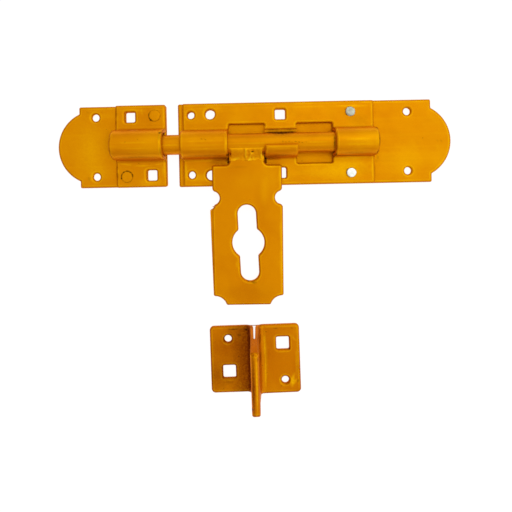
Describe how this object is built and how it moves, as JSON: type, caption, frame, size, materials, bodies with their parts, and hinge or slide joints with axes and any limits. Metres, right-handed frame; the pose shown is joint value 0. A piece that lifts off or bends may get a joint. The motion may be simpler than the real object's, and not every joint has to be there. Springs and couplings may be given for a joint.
{
  "type": "padbolt set with keeper and staple",
  "caption": "Heavy sliding padbolt with a slotted handle plate on its round bolt, an arched keeper and a folded staple that takes a padlock.",
  "frame": {"origin": "on the wall face, midway between the two square holes at the middle of the body", "axes": "+X along the bolt towards the round end of the body, away from the keeper; +Y up, away from the hanging handle; +Z out of the wall. The set lies flat on its back plates."},
  "size_m": [0.3243, 0.2401, 0.043],
  "materials": {
    "yellow_zinc": "yellow-passivated zinc plating, satin",
    "dark_zinc": "yellow-passivated zinc plating, satin, darker and stained",
    "bare_rivet": "bare bright steel, hammered"
  },
  "bodies": {
    "body": {"body_back_plate": "yellow_zinc", "body_cover": "yellow_zinc", "body_rivet_upper": "bare_rivet", "body_rivet_lower": "bare_rivet", "keeper_back_plate": "yellow_zinc", "keeper_strap": "yellow_zinc", "keeper_rivet_upper": "yellow_zinc", "keeper_rivet_lower": "yellow_zinc", "staple": "dark_zinc"},
    "bolt": {"bolt_rod": "yellow_zinc"},
    "handle": {"handle_plate": "yellow_zinc", "handle_weld": "yellow_zinc"}
  },
  "joints": [
    {"name": "bolt_slide", "type": "slide", "parent": "body", "child": "bolt", "axis": [1, 0, 0], "range_m": [-0.0006, 0.0006]},
    {"name": "handle_turn", "type": "hinge", "parent": "bolt", "child": "handle", "pos_m": [-0.0278, 0, 0.0114], "axis": [-1, 0, 0], "range_deg": [0, 187.5]}
  ]
}
